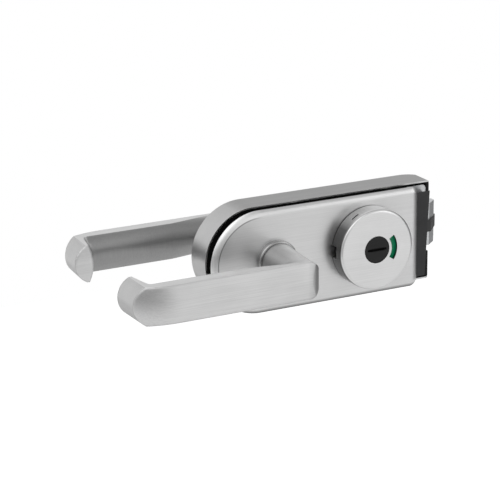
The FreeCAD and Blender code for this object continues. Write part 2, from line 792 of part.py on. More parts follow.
def make_lever_body():
    """One lever without its bores: grip, return and neck as one casting."""
    half = grip_half_height
    back_crown_y = grip_back_y + grip_back_crown
    left_x = grip_tip_x - grip_outer_bow
    neck_front_y = grip_front_y - grip_front_crown
    raw_front_y = neck_front_y - overrun
    start = grip_section(elbow_start_x, raw_front_y, grip_back_y, back_crown_y)
    finish = grip_section(elbow_end_x, raw_front_y, grip_front_y + elbow_flat, back_crown_y)
    arm = Part.Face(start).extrude(Vector(left_x - grip_outer_bow - elbow_start_x, 0, 0))
    arm = arm.fuse(Part.makeLoft([start, finish], True, True))
    root_band = return_tip_band + return_reach * return_slope
    back_end = Part.makeLoft([return_section(return_end_y, return_tip_band),
                              return_section(grip_front_y, root_band)], True, True)
    front_plan = plan_outline(raw_front_y, grip_tip_x + grip_tip_lean, grip_outer_bow - grip_bow_lean)
    back_plan = plan_outline(return_end_y, grip_tip_x, grip_outer_bow)
    plan = Part.makeLoft([front_plan, back_plan], True, True)
    lever = arm.fuse(back_end).common(plan).common(front_envelope()).removeSplitter()
    corner = [edge for edge in lever.Edges
              if edge.BoundBox.XMin > grip_tip_x and edge.BoundBox.XMax < elbow_start_x
              and grip_front_y < edge.BoundBox.YMin and edge.BoundBox.YMax < return_end_y - overrun
              and edge.BoundBox.ZLength > half]
    lever = lever.makeFillet(return_inner_round, corner)
    lever = lever.fuse(make_neck(grip_front_y, neck_front_y, left_x)).removeSplitter()
    seam = [edge for edge in lever.Edges
            if edge.BoundBox.XMin > -neck_radius - overrun and edge.BoundBox.XMax < elbow_end_x
            and edge.BoundBox.ZLength > half and grip_back_y < edge.BoundBox.YMax < return_end_y]
    return lever.makeFillet(neck_blend, seam)


def add_lever_bores(lever):
    """Journal, circlip groove, square socket and the headless screw's hole in the front lever."""
    neck_end_y = collar_front_y - free_gap
    lever = lever.fuse(rod_y(0, 0, journal_radius, neck_end_y - overrun, journal_end_y))
    lever = lever.cut(square_y(0, 0, spindle_width + 2 * fit_gap, spindle_front_y - free_gap, journal_end_y))
    return lever.cut(rod_z(0, grub_y, grub_radius + fit_gap, -neck_radius - overrun, 0))


def make_levers():
    """Both levers, the front one with a circlip groove behind its collar."""
    lever = add_lever_bores(make_lever_body())
    save("rear_lever", mirrored(lever))
    groove = turned(0, 0, [(circlip_groove_radius, circlip_y), (journal_radius + overrun, circlip_y),
                           (journal_radius + overrun, circlip_y + circlip_thickness),
                           (circlip_groove_radius, circlip_y + circlip_thickness)])
    extra = rod_y(0, 0, journal_radius, journal_end_y - fit_gap, circlip_y + 2 * circlip_thickness)
    extra = extra.cut(square_y(0, 0, spindle_width + 2 * fit_gap, journal_end_y - overrun, 0))
    save("front_lever", lever.fuse(extra).cut(groove))
    circlip = turned(0, 0, [(circlip_groove_radius + fit_gap, circlip_y + fit_gap),
                            (circlip_radius, circlip_y + fit_gap),
                            (circlip_radius, circlip_y + circlip_thickness - fit_gap),
                            (circlip_groove_radius + fit_gap, circlip_y + circlip_thickness - fit_gap)])
    mouth = block(-circlip_opening / 2, circlip_opening / 2, circlip_y, circlip_y + circlip_thickness,
                  0, far)
    save("front_lever_circlip", circlip.cut(mouth))
    bottom = -neck_radius + grub_hex_depth / 2
    screw = rod_z(0, grub_y, grub_radius, bottom, -spindle_width / 2 - fit_gap)
    key = hex_y(0, 0, grub_hex, 0, grub_hex_depth)
    key.rotate(Vector(0, 0, 0), Vector(1, 0, 0), 90)
    key.translate(Vector(0, grub_y, bottom))
    screw = screw.cut(key)
    save("lever_grub_screws", Part.makeCompound([screw, mirrored(screw)]))
    rear_end_y = 2 * mirror_y - spindle_front_y
    save("lever_spindle", square_y(0, 0, spindle_width, spindle_front_y, rear_end_y))


def make_collars():
    """Turned collars that guide the levers' journals, one on each cover."""
    front = turned(0, 0, [(journal_radius + running_gap, collar_front_y),
                          (collar_radius, collar_front_y), (collar_radius, front_face_y),
                          (collar_spigot_radius, front_face_y), (collar_spigot_radius, glass_front_y),
                          (journal_radius + running_gap, glass_front_y)])
    front = front.makeFillet(collar_edge, round_edges(front, collar_front_y, collar_radius))
    save("front_collar", front)
    spigot_y = front_face_y + rear_face_thickness
    rear = turned(0, 0, [(journal_radius + running_gap, collar_front_y),
                         (collar_radius, collar_front_y), (collar_radius, front_face_y),
                         (collar_spigot_radius, front_face_y), (collar_spigot_radius, spigot_y),
                         (journal_radius + running_gap, spigot_y)])
    rear = rear.makeFillet(collar_edge, round_edges(rear, collar_front_y, collar_radius))
    save("rear_collar", mirrored(rear))


def make_follower():
    """Follower on the spindle with a pin arm for the latch tail and an arm for the return spring."""
    hub = rod_y(0, 0, follower_radius, lid_back_y + free_gap, case_floor_y - free_gap)
    hub = hub.fuse(rod_y(0, 0, follower_journal_radius, rear_plate_back_y, case_back_y - free_gap))
    lean = lever_travel_deg / 2
    arm = block(-follower_arm_width / 2, follower_arm_width / 2, arm_front_y, arm_back_y,
                0, follower_pin_reach)
    arm = arm.fuse(rod_y(0, follower_pin_reach, follower_arm_width / 2, arm_front_y, arm_back_y))
    arm = arm.fuse(rod_y(0, follower_pin_reach, follower_pin_radius, tail_front_y, arm_front_y))
    foot = block(-spring_arm_reach - spring_radius, 0, arm_front_y, arm_back_y + spring_radius,
                 -spring_arm_thickness / 2, spring_arm_thickness / 2)
    follower = hub.fuse(swung(arm, 0, -lean)).fuse(foot)
    save("lever_follower", follower.cut(square_y(0, 0, spindle_width + 2 * fit_gap,
                                                 rear_plate_back_y, case_back_y)))


def make_return_spring():
    """Upright compression spring under the follower's left arm."""
    low_z = case_shallow_z + sheet + spring_wire_radius
    high_z = -spring_arm_thickness / 2 - free_gap - spring_wire_radius
    middle_y = (arm_front_y + arm_back_y + spring_radius) / 2
    coil_radius = spring_radius - spring_wire_radius
    rise = (high_z - low_z) / spring_half_turns
    path = []
    for step in range(spring_half_turns):
        side = 1 - 2 * (step % 2)
        first = Vector(-spring_arm_reach + side * coil_radius, middle_y, low_z + step * rise)
        middle = Vector(-spring_arm_reach, middle_y + side * coil_radius, low_z + (step + 0.5) * rise)
        last = Vector(-spring_arm_reach - side * coil_radius, middle_y, low_z + (step + 1) * rise)
        path.append(Part.Arc(first, middle, last).toShape())
    start = Vector(-spring_arm_reach + coil_radius, middle_y, low_z)
    ring = Part.Wire(Part.makeCircle(spring_wire_radius, start, Vector(0, 1, 0)))
    save("lever_return_spring", Part.Wire(path).makePipeShell([ring], True, True))


def make_latch():
    """Cast latch head with its bevel, plastic insert, steel tail and the pin between them."""
    bevel_y = latch_front_y + latch_bevel_depth
    profile = [Vector(latch_back_x, latch_front_y, latch_bottom_z),
               Vector(latch_root_x, latch_front_y, latch_bottom_z),
               Vector(latch_tip_x, bevel_y, latch_bottom_z),
               Vector(latch_tip_x, latch_back_y, latch_bottom_z),
               Vector(latch_back_x, latch_back_y, latch_bottom_z)]
    head = Part.Face(Part.makePolygon(profile + [profile[0]]))
    head = head.extrude(Vector(0, 0, latch_top_z - latch_bottom_z))
    tips = edges_along(head, Vector(0, 0, 1), [(latch_tip_x, None, None)])
    head = head.makeFillet(latch_edge, tips)
    pocket_y = bevel_y + insert_depth / 2
    insert_back_y = pocket_y + insert_tip_width
    insert = [Vector(insert_back_x, latch_front_y - insert_proud, insert_bottom_z),
              Vector(insert_root_x, latch_front_y - insert_proud, insert_bottom_z),
              Vector(insert_tip_x, pocket_y, insert_bottom_z),
              Vector(insert_tip_x, insert_back_y, insert_bottom_z),
              Vector(insert_back_x, insert_back_y, insert_bottom_z)]
    insert = Part.Face(Part.makePolygon(insert + [insert[0]]))
    insert = insert.extrude(Vector(0, 0, insert_top_z - insert_bottom_z))
    insert = insert.makeFillet(latch_edge / 2, edges_along(insert, Vector(0, 0, 1)))
    room = block(insert_back_x - fit_gap, far, 0, insert_back_y + fit_gap,
                 insert_bottom_z - fit_gap, insert_top_z + fit_gap)
    head = head.cut(room)
    grip_x = latch_back_x + tail_grip
    head = head.cut(block(latch_back_x, grip_x + fit_gap, tail_front_y - fit_gap, tail_back_y + fit_gap,
                          tail_bottom_z - fit_gap, far))
    pin_x = latch_back_x + tail_grip / 2
    pin_z = (tail_bottom_z + latch_top_z) / 2
    pin = rod_y(pin_x, pin_z, roll_pin_radius, latch_front_y + fit_gap, latch_back_y - fit_gap)
    pin_hole = rod_y(pin_x, pin_z, roll_pin_radius + fit_gap, latch_front_y, latch_back_y)
    tail = block(tail_start_x, grip_x, tail_front_y, tail_back_y, tail_bottom_z, tail_top_z)
    tail = tail.cut(block(latch_back_x - fit_gap, far, tail_front_y, tail_back_y, latch_top_z, far))
    swing = math.radians(lever_travel_deg / 2)
    slot_x = follower_pin_reach * math.sin(swing)
    slot_low_z = follower_pin_reach * math.cos(swing) - follower_pin_radius
    slot_half = follower_pin_radius + slot_play
    tail = tail.cut(block(slot_x - slot_half, slot_x + slot_half, tail_front_y, tail_back_y,
                          slot_low_z - slot_play, far))
    save("latch_bolt", head.cut(pin_hole))
    save("latch_insert", insert)
    save("latch_tail", tail.cut(pin_hole))
    save("latch_roll_pin", pin)


def make_dead_bolt():
    """Privacy bolt, drawn back flush, with a slotted tail for the cam's pin."""
    head_end_x = rear_end_x - free_gap
    head_back_x = head_end_x - bolt_head_length
    head = block(head_back_x, head_end_x, bolt_front_y, bolt_back_y, bolt_bottom_z, bolt_top_z)
    ends = [edge for edge in head.Edges if edge.BoundBox.XMin > head_end_x - fit_gap]
    head = head.makeFillet(bolt_edge, ends)
    swing = math.radians(turn_travel_deg / 2)
    slot_x = turn_x - cam_pin_reach * math.sin(swing)
    slot_half = cam_pin_radius + slot_play
    slot_low_z = -cam_pin_reach - cam_pin_radius - slot_play
    tail = plate_y([(slot_x - 2 * slot_half, bolt_tail_top_z), (slot_x + 2 * slot_half, bolt_tail_top_z),
                    (slot_x + 2 * slot_half, bolt_top_z), (head_back_x, bolt_top_z),
                    (head_back_x, bolt_bottom_z), (slot_x - 2 * slot_half, bolt_bottom_z)],
                   tail_front_y, tail_back_y)
    tail = tail.cut(block(slot_x - slot_half, slot_x + slot_half, tail_front_y, tail_back_y,
                          slot_low_z, far))
    save("dead_bolt", head.fuse(tail))


def make_cam():
    """Cam on the turn's spindle whose pin drives the dead bolt."""
    hub = rod_y(turn_x, 0, cam_radius, arm_front_y, case_floor_y - free_gap)
    hub = hub.fuse(rod_y(turn_x, 0, cam_journal_radius, rear_plate_back_y, case_back_y - free_gap))
    half = cam_arm_width / 2
    arm = block(turn_x - half, turn_x + half, arm_front_y, arm_back_y, -cam_pin_reach, 0)
    arm = arm.fuse(rod_y(turn_x, -cam_pin_reach, half, arm_front_y, arm_back_y))
    arm = arm.fuse(rod_y(turn_x, -cam_pin_reach, cam_pin_radius, tail_front_y, arm_front_y))
    cam = hub.fuse(swung(arm, turn_x, -turn_travel_deg / 2))
    save("locking_cam", cam.cut(square_y(turn_x, 0, turn_spindle_width + 2 * fit_gap,
                                         rear_plate_back_y, case_back_y)))


def window_sector(inner, outer, y0, y1):
    """A ring sector about the turn's axis, opening towards the latch."""
    angle = math.radians(window_half_deg)
    low_in = Vector(turn_x + inner * math.cos(angle), y0, -inner * math.sin(angle))
    high_in = Vector(turn_x + inner * math.cos(angle), y0, inner * math.sin(angle))
    low_out = Vector(turn_x + outer * math.cos(angle), y0, -outer * math.sin(angle))
    high_out = Vector(turn_x + outer * math.cos(angle), y0, outer * math.sin(angle))
    edges = [
        Part.Arc(low_in, Vector(turn_x + inner, y0, 0), high_in).toShape(),
        Part.LineSegment(high_in, high_out).toShape(),
        Part.Arc(high_out, Vector(turn_x + outer, y0, 0), low_out).toShape(),
        Part.LineSegment(low_out, low_in).toShape(),
    ]
    return Part.Face(Part.Wire(edges)).extrude(Vector(0, y1 - y0, 0))


def rose_cup():
    """A turned rose cover without its openings."""
    inner = rose_radius - rose_wall
    inside_y = rose_front_y + rose_face
    cup = turned(turn_x, 0, [(rose_hole_radius, rose_front_y), (rose_radius, rose_front_y),
                             (rose_radius, front_face_y), (inner, front_face_y), (inner, inside_y),
                             (rose_hole_radius, inside_y)])
    return cup.makeFillet(rose_edge_round, round_edges(cup, rose_front_y, rose_radius))


def rose_base(hub_end_y):
    """The ring that carries a rose, with a bearing hub and its two screw holes."""
    outer = rose_radius - rose_wall - fit_gap
    bore = coin_stem_radius + running_gap
    flange_y = front_face_y - rose_base_thickness
    hub_y = rose_front_y + rose_face + dial_thickness + 3 * free_gap
    ring = turned(turn_x, 0, [(bore, hub_y), (rose_hub_radius, hub_y), (rose_hub_radius, flange_y),
                              (outer, flange_y), (outer, front_face_y),
                              (rose_hub_radius - fit_gap, front_face_y),
                              (rose_hub_radius - fit_gap, hub_end_y), (bore, hub_end_y)])
    for side in (-1, 1):
        z = side * rose_screw_reach
        ring = ring.cut(rod_y(turn_x, z, rose_screw_radius + fit_gap, flange_y, front_face_y))
    return ring


def rose_screws():
    """The two screws of one rose base."""
    screws = []
    flange_y = front_face_y - rose_base_thickness
    for side in (-1, 1):
        z = side * rose_screw_reach
        screw = rod_y(turn_x, z, rose_screw_radius, flange_y, flange_y + rose_screw_length)
        head = rod_y(turn_x, z, rose_screw_head_radius, flange_y - screw_head_height / 2, flange_y)
        slot = block(turn_x - far, turn_x + far, flange_y - screw_head_height / 2,
                     flange_y - screw_head_height / 4, z - frame_slot / 2, z + frame_slot / 2)
        screws.append(head.fuse(screw).cut(slot))
    return screws


def make_roses():
    """Front rose with its window and notches, plain rear rose, and their bases and screws."""
    inner = rose_radius - rose_wall
    inside_y = rose_front_y + rose_face
    front = rose_cup().cut(window_sector(window_inner_radius, window_outer_radius, rose_front_y, inside_y))
    pocket = block(turn_x - far, turn_x - inner + notch_pocket, front_face_y - notch_depth, front_face_y,
                   -notch_height / 2, notch_height / 2)
    front = front.cut(pocket)
    slot_y = rose_front_y + prise_slot_place
    slot = block(turn_x - prise_slot_length / 2, turn_x + prise_slot_length / 2,
                 slot_y - prise_slot_width / 2, slot_y + prise_slot_width / 2, rose_hub_radius, far)
    save("indicator_rose", front.cut(swung(slot, turn_x, prise_slot_deg - 90)))
    save("indicator_rose_base", rose_base(glass_front_y).cut(pocket))
    save("turn_rose", mirrored(rose_cup()))
    save("turn_rose_base", mirrored(rose_base(front_face_y + rear_face_thickness)))
    screws = rose_screws()
    rear = []
    for screw in screws:
        rear.append(mirrored(screw))
    save("rose_screws", Part.makeCompound(screws + rear))


def make_turn():
    """Coin disc, two-colour dial, square spindle, thumb turn and its rubber ring."""
    inside_y = rose_front_y + rose_face
    dial_y = inside_y + free_gap
    stem_end_y = glass_front_y
    coin = turned(turn_x, 0, [(0, rose_front_y), (coin_radius, rose_front_y),
                              (coin_radius, dial_y - fit_gap), (coin_stem_radius, dial_y - fit_gap),
                              (coin_stem_radius, stem_end_y), (0, stem_end_y)])
    coin = coin.cut(block(turn_x - coin_slot_length / 2, turn_x + coin_slot_length / 2, rose_front_y,
                          rose_front_y + coin_slot_depth, -coin_slot_width / 2, coin_slot_width / 2))
    socket = turn_spindle_width + 2 * fit_gap
    coin = coin.cut(square_y(turn_x, 0, socket, turn_spindle_front_y - fit_gap, stem_end_y))
    save("coin_disc", coin)
    dial = turned(turn_x, 0, [(coin_stem_radius + fit_gap / 2, dial_y), (dial_radius, dial_y),
                              (dial_radius, dial_y + dial_thickness),
                              (coin_stem_radius + fit_gap / 2, dial_y + dial_thickness)])
    save("indicator_dial", dial)
    rear_spindle_y = 2 * mirror_y - turn_spindle_front_y
    save("turn_spindle", square_y(turn_x, 0, turn_spindle_width, turn_spindle_front_y, rear_spindle_y))
    neck_end_y = front_face_y + rear_face_thickness
    neck = turned(turn_x, 0, [(0, rose_front_y - free_gap), (coin_radius, rose_front_y - free_gap),
                              (coin_radius, inside_y), (coin_stem_radius, inside_y),
                              (coin_stem_radius, neck_end_y), (0, neck_end_y)])
    knob = block(turn_x - knob_length / 2, turn_x + knob_length / 2, rose_front_y - free_gap - knob_reach,
                 rose_front_y - free_gap, -knob_thickness / 2, knob_thickness / 2)
    knob = knob.makeFillet(knob_thickness / 2 - fit_gap, edges_along(knob, Vector(0, 1, 0)))
    knob = knob.makeFillet(knob_edge, edges_at_y(knob, rose_front_y - free_gap - knob_reach))
    turn = knob.fuse(neck)
    turn = turn.cut(square_y(turn_x, 0, socket, turn_spindle_front_y - fit_gap, neck_end_y))
    save("thumb_turn", mirrored(turn))
    ring_y = inside_y + fit_gap
    ring = turned(turn_x, 0, [(coin_stem_radius + fit_gap, ring_y), (coin_radius, ring_y),
                              (coin_radius, ring_y + turn_ring_thickness),
                              (coin_stem_radius + fit_gap, ring_y + turn_ring_thickness)])
    save("turn_friction_ring", mirrored(ring))


make_front_cover()
make_front_plate()
make_front_pad()
make_rear_cover()
make_rear_plate()
make_rear_pad()
make_clamp_hardware()
make_lock_case()
make_case_lid()
make_edge_block()
make_end_frame()
make_cover_screws()
make_levers()
make_collars()
make_follower()
make_return_spring()
make_latch()
make_dead_bolt()
make_cam()
make_roses()
make_turn()
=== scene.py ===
import json
import math

import bpy
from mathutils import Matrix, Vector


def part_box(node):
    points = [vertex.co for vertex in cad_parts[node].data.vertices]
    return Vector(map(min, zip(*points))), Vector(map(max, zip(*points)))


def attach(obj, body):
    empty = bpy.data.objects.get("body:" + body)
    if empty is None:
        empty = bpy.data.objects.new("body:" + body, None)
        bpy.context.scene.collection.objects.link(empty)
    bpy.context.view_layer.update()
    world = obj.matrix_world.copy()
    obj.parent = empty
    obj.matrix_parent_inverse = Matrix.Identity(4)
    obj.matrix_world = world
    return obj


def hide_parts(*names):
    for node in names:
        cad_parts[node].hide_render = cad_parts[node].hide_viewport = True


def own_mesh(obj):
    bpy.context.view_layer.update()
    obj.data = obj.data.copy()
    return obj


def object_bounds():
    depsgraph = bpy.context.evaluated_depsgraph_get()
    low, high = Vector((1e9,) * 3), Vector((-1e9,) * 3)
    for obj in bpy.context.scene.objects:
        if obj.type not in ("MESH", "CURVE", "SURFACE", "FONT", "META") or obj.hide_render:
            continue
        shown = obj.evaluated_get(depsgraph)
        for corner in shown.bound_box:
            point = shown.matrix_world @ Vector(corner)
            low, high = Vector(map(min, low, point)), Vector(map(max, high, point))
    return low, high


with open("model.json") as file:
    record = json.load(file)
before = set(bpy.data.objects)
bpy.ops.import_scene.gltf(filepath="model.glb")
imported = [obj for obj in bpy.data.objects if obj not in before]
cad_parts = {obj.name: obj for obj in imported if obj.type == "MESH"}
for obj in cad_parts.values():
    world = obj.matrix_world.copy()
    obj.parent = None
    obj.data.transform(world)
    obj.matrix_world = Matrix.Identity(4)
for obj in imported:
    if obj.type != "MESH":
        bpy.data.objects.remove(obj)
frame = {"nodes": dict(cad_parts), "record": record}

cad_low, cad_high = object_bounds()
nodes = frame["nodes"]

# Camera: a long lens, above the lever side and to the left of the case
camera_place = (-0.4880, -0.9712, 0.3522)
camera_turn_deg = (72.285, 0.830, -26.244)
camera_lens = 132.93
sensor_width = 36.0
camera_sight = 20.0

# Places on the object that some finishes need, in metres
lever_middle_y = 0.00875
grip_stand_off = 0.040
cover_stand_off = 0.01525
round_end_x = -0.0105
rim_line_radius = 0.0289
dial_ring = (0.009, 0.0155)

# Where masks of the finishes begin and end, in metres; most of them place painted shade, painted
# highlight or painted contact shadow
inner_face_margin = 0.004
flare_depth = (0.012, 0.004)
flare_x = (-0.060, -0.045)
elbow_roll_x = (-0.0020, 0.0060)
rim_fade_x = (-0.008, 0.002)
rim_line_inside = 0.0006
rim_line_outside = 0.0005
rim_band_start = 0.0007
contact_shadow_span = (0.0003, 0.0011)
coin_slot_shade_z = (0.0006, 0.0014)
coin_slot_shade_x = (0.0045, 0.0065)

# Where masks begin and end by the way that a face is turned, as parts of its normal
front_turn = (0.55, 0.70)
flare_turn = (-0.45, -0.10)
elbow_turn = (0.10, 0.60)
low_edge_turn = (-0.60, -0.25)

# How much of the elbow's painted shade comes from its turn and how much from its place
elbow_turn_share = 0.45
elbow_roll_share = 0.80

# Grain of ground steel: scratches per metre along each axis, few along the grain and many across it
along_x = (26.0, 2000.0, 2000.0)
along_y = (1500.0, 20.0, 1500.0)
along_z = (1500.0, 1500.0, 20.0)
even = (900.0, 900.0, 900.0)
grain_waviness = 0.15
grain_depth = 0.00002
steel_cloud_size = 32.0
steel_edge = 0.0004
steel_contrast = 0.12

# Texture of moulded plastic and rubber
plastic_cloud_size = 70.0
plastic_grit_size = 1800.0
plastic_grit_depth = 0.00004
plastic_edge = 0.0003
dial_grit_size = 1500.0

# Plain studio: a pale floor, two soft lamps and a white room with some darker surfaces in it.
# Each lamp has its place, size and power, and points at the origin.
# Each surface has its direction, the cosines where it starts and where it is full, and its darkness.
floor_drop = 0.30
floor_size = 1.8
floor_cloud_size = 3.0
floor_roughness = 0.9
floor_glow = 0.50
floor_mirror = 0.15
room_light = 0.75
lamps = {
    "key_light": ((-0.9, -0.7, 1.4), 1.8, 6.8),
    "right_light": ((1.2, -1.0, 0.5), 1.0, 3.0),
}
room_surfaces = {
    "camera stand": ((-0.33, -0.90, -0.30), 0.72, 0.98, 0.75),
    "right wall": ((0.97, -0.05, -0.30), 0.56, 0.88, 0.85),
    "left wall": ((-0.95, -0.25, -0.20), 0.55, 1.00, 0.42),
    "back wall": ((0.44, 0.87, 0.30), 0.75, 0.98, 0.20),
    "ceiling": ((0.44, -0.45, 0.80), 0.60, 0.98, 0.45),
}


def grey(level):
    """A colour without hue, from black at 0 to white at 1."""
    return (level, level, level)


middle = (0.0, lever_middle_y, 0.0)
white = (*grey(1.0), 1.0)
# Painted highlight band and painted dark line on the front cover's rim
rim_band_painted_highlight = grey(0.84)
rim_line_painted_shade = grey(0.22)
# Painted contact shadow where a piece meets a cover
contact_shadow_shade = grey(0.03)


def new_group(name, inputs, outputs):
    """An empty shader group with the named sockets, each given by its name and kind."""
    group = bpy.data.node_groups.new(name, "ShaderNodeTree")
    for label, kind in inputs:
        group.interface.new_socket(label, in_out="INPUT", socket_type=kind)
    for label, kind in outputs:
        group.interface.new_socket(label, in_out="OUTPUT", socket_type=kind)
    start = group.nodes.new("NodeGroupInput")
    end = group.nodes.new("NodeGroupOutput")
    return group, start, end


def add(tree, kind, **settings):
    """A node with its properties and the defaults of its inputs set."""
    node = tree.nodes.new(kind)
    for key, value in settings.items():
        if key.startswith("in_"):
            slot = key[3:]
            plug = node.inputs[int(slot) if slot.isdigit() else slot.replace("_", " ")]
            plug.default_value = value
        else:
            setattr(node, key, value)
    return node


def link(tree, start, end):
    tree.links.new(start, end)


def make_grain_group():
    """Long fine scratches of a ground surface; Stretch is high across the grain and low along it."""
    group, start, end = new_group(
        "ground_grain",
        [("Vector", "NodeSocketVector"), ("Stretch", "NodeSocketVector")],
        [("Grain", "NodeSocketFloat"), ("Streaks", "NodeSocketFloat")])
    scaled = add(group, "ShaderNodeVectorMath", operation="MULTIPLY")
    link(group, start.outputs["Vector"], scaled.inputs[0])
    link(group, start.outputs["Stretch"], scaled.inputs[1])
    fine = add(group, "ShaderNodeTexNoise", in_Scale=1.0, in_Detail=5.0, in_Roughness=0.65,
               in_Distortion=grain_waviness)
    link(group, scaled.outputs[0], fine.inputs["Vector"])
    broad = add(group, "ShaderNodeVectorMath", operation="SCALE", in_Scale=0.16)
    link(group, scaled.outputs[0], broad.inputs[0])
    streaks = add(group, "ShaderNodeTexNoise", in_Scale=1.0, in_Detail=3.0, in_Roughness=0.5)
    link(group, broad.outputs[0], streaks.inputs["Vector"])
    link(group, fine.outputs["Fac"], end.inputs["Grain"])
    link(group, streaks.outputs["Fac"], end.inputs["Streaks"])
    return group


def make_cloud_group():
    """Slow, uneven variation of tone over a surface."""
    group, start, end = new_group(
        "tone_clouds",
        [("Vector", "NodeSocketVector"), ("Size", "NodeSocketFloat")],
        [("Tone", "NodeSocketFloat")])
    noise = add(group, "ShaderNodeTexNoise", in_Detail=3.0, in_Roughness=0.55)
    link(group, start.outputs["Vector"], noise.inputs["Vector"])
    link(group, start.outputs["Size"], noise.inputs["Scale"])
    link(group, noise.outputs["Fac"], end.inputs["Tone"])
    return group


def make_edge_group():
    """Slightly rounded edges, and a mask that is bright along them: painted highlight on steel, wear on
    plastic.
    """
    group, start, end = new_group(
        "edge_rounding_highlight_and_wear",
        [("Radius", "NodeSocketFloat"), ("Sharpness", "NodeSocketFloat")],
        [("Mask", "NodeSocketFloat"), ("Normal", "NodeSocketVector")])
    bevel = add(group, "ShaderNodeBevel", samples=4)
    link(group, start.outputs["Radius"], bevel.inputs["Radius"])
    geometry = add(group, "ShaderNodeNewGeometry")
    dot = add(group, "ShaderNodeVectorMath", operation="DOT_PRODUCT")
    link(group, bevel.outputs["Normal"], dot.inputs[0])
    link(group, geometry.outputs["Normal"], dot.inputs[1])
    away = add(group, "ShaderNodeMath", operation="SUBTRACT", in_0=1.0)
    link(group, dot.outputs["Value"], away.inputs[1])
    strong = add(group, "ShaderNodeMath", operation="MULTIPLY", use_clamp=True)
    link(group, away.outputs[0], strong.inputs[0])
    link(group, start.outputs["Sharpness"], strong.inputs[1])
    link(group, strong.outputs[0], end.inputs["Mask"])
    link(group, bevel.outputs["Normal"], end.inputs["Normal"])
    return group


grain_group = make_grain_group()
cloud_group = make_cloud_group()
edge_group = make_edge_group()


def new_material(name):
    """A material with an empty tree, its Principled shader and its output."""
    material = bpy.data.materials.new(name)
    material.use_nodes = True
    tree = material.node_tree
    tree.nodes.clear()
    shader = add(tree, "ShaderNodeBsdfPrincipled")
    output = add(tree, "ShaderNodeOutputMaterial")
    link(tree, shader.outputs[0], output.inputs["Surface"])
    return material, tree, shader


def placed(tree, group, **values):
    """One of the shared groups, placed in a material with its own values."""
    node = tree.nodes.new("ShaderNodeGroup")
    node.node_tree = group
    for key, value in values.items():
        node.inputs[key].default_value = value
    return node


def clouded(tree, spot, size):
    """A slow variation of tone at a place on the surface."""
    clouds = placed(tree, cloud_group, Size=size)
    link(tree, spot, clouds.inputs["Vector"])
    return clouds.outputs["Tone"]


def mapped(tree, source, low, high, from_low=0.0, from_high=1.0):
    """A value spread from one range to another, and held at its ends."""
    node = add(tree, "ShaderNodeMapRange", in_From_Min=from_low, in_From_Max=from_high,
               in_To_Min=low, in_To_Max=high)
    link(tree, source, node.inputs["Value"])
    return node.outputs["Result"]


def rising(tree, source, span):
    """Nought below a span and one above it."""
    return mapped(tree, source, 0.0, 1.0, *span)


def falling(tree, source, span):
    """One below a span and nought above it."""
    return mapped(tree, source, 1.0, 0.0, *span)


def combined(tree, operation, first, second, use_clamp=False):
    """One value from two."""
    node = add(tree, "ShaderNodeMath", operation=operation, use_clamp=use_clamp)
    link(tree, first, node.inputs[0])
    link(tree, second, node.inputs[1])
    return node.outputs[0]


def weighed(tree, source, weight, rest, use_clamp=False):
    """A value times its weight, and the rest."""
    node = add(tree, "ShaderNodeMath", operation="MULTIPLY_ADD", in_1=weight, use_clamp=use_clamp)
    link(tree, source, node.inputs[0])
    link(tree, rest, node.inputs[2])
    return node.outputs[0]


def part_of(tree, source, axis):
    """One of the three parts of a vector."""
    node = add(tree, "ShaderNodeSeparateXYZ")
    link(tree, source, node.inputs[0])
    return node.outputs[axis]


def size_of_part(tree, source, axis):
    """One of the three parts of a vector, without its sign."""
    node = add(tree, "ShaderNodeMath", operation="ABSOLUTE")
    link(tree, part_of(tree, source, axis), node.inputs[0])
    return node.outputs[0]


def measured_from(tree, spot, origin):
    """A place, measured from an origin."""
    node = add(tree, "ShaderNodeVectorMath", operation="SUBTRACT", in_1=origin)
    link(tree, spot, node.inputs[0])
    return node.outputs[0]


def axis_distance(tree, spot):
    """How far a place is from the axis that goes through the origin along Y."""
    flat = add(tree, "ShaderNodeVectorMath", operation="MULTIPLY", in_1=(1.0, 0.0, 1.0))
    link(tree, spot, flat.inputs[0])
    reach = add(tree, "ShaderNodeVectorMath", operation="LENGTH")
    link(tree, flat.outputs[0], reach.inputs[0])
    return reach.outputs["Value"]


def of_type(plugs, kind):
    """The sockets of one kind among those of a node."""
    return [plug for plug in plugs if plug.type == kind]


def blended(tree, factor, first, second):
    """A mix of two colours that come from other nodes."""
    node = add(tree, "ShaderNodeMix", data_type="RGBA")
    plugs = of_type(node.inputs, "RGBA")
    link(tree, first, plugs[0])
    link(tree, second, plugs[1])
    link(tree, factor, node.inputs["Factor"])
    return of_type(node.outputs, "RGBA")[0]


def tinted(tree, factor, dark, light):
    """A colour between two shades."""
    node = add(tree, "ShaderNodeMix", data_type="RGBA")
    plugs = of_type(node.inputs, "RGBA")
    plugs[0].default_value = (*dark, 1.0)
    plugs[1].default_value = (*light, 1.0)
    link(tree, factor, node.inputs["Factor"])
    return of_type(node.outputs, "RGBA")[0]


def toned(tree, factor, shade, contrast):
    """A grey that goes a little under and over its shade."""
    dark = tuple((1 - contrast) * value for value in shade)
    light = tuple(min(1.0, (1 + contrast) * value) for value in shade)
    return tinted(tree, factor, dark, light)


def chosen(tree, factor, without, within):
    """A mix of two vectors, by a factor between 0 and 1. Each is fixed or comes from another node."""
    node = add(tree, "ShaderNodeMix", data_type="VECTOR")
    plugs = of_type(node.inputs, "VECTOR")
    for plug, vector in zip(plugs[-2:], (without, within)):
        if isinstance(vector, tuple):
            plug.default_value = vector
        else:
            link(tree, vector, plug)
    link(tree, factor, node.inputs["Factor"])
    return of_type(node.outputs, "VECTOR")[0]


